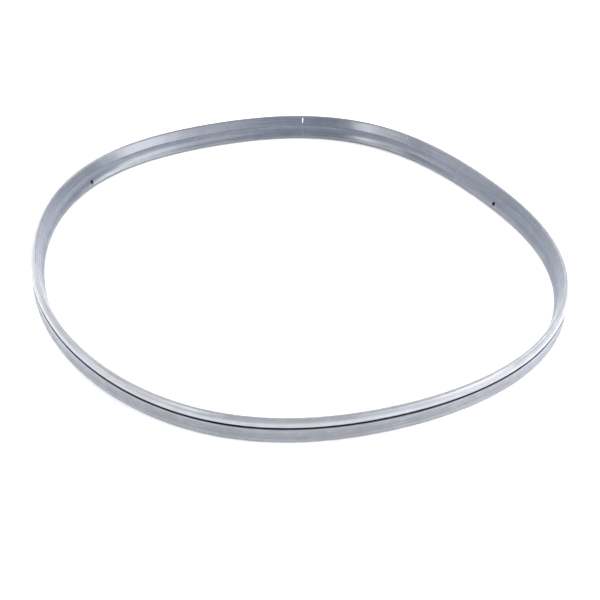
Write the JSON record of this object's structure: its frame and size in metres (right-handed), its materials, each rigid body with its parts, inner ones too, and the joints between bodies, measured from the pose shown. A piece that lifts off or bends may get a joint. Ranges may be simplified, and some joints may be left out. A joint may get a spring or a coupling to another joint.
{
  "type": "pressure cooker sealing ring",
  "caption": "Soft grey silicone lid seal for a stovetop pressure cooker: a ring with a rounded crown, a slit and a spring flap outside, and small steam vents in its inner wall.",
  "frame": {"origin": "middle of the ring's overall length and width, on the plane that its foot rests on", "axes": "+Z from the foot up to the crown, +X across the ring, +Y towards the side with the moulding splice"},
  "size_m": [0.2432, 0.241, 0.0118],
  "materials": {
    "silicone": "satin moulded silicone"
  },
  "bodies": {
    "root": {"sealing_ring": "silicone"}
  },
  "joints": []
}
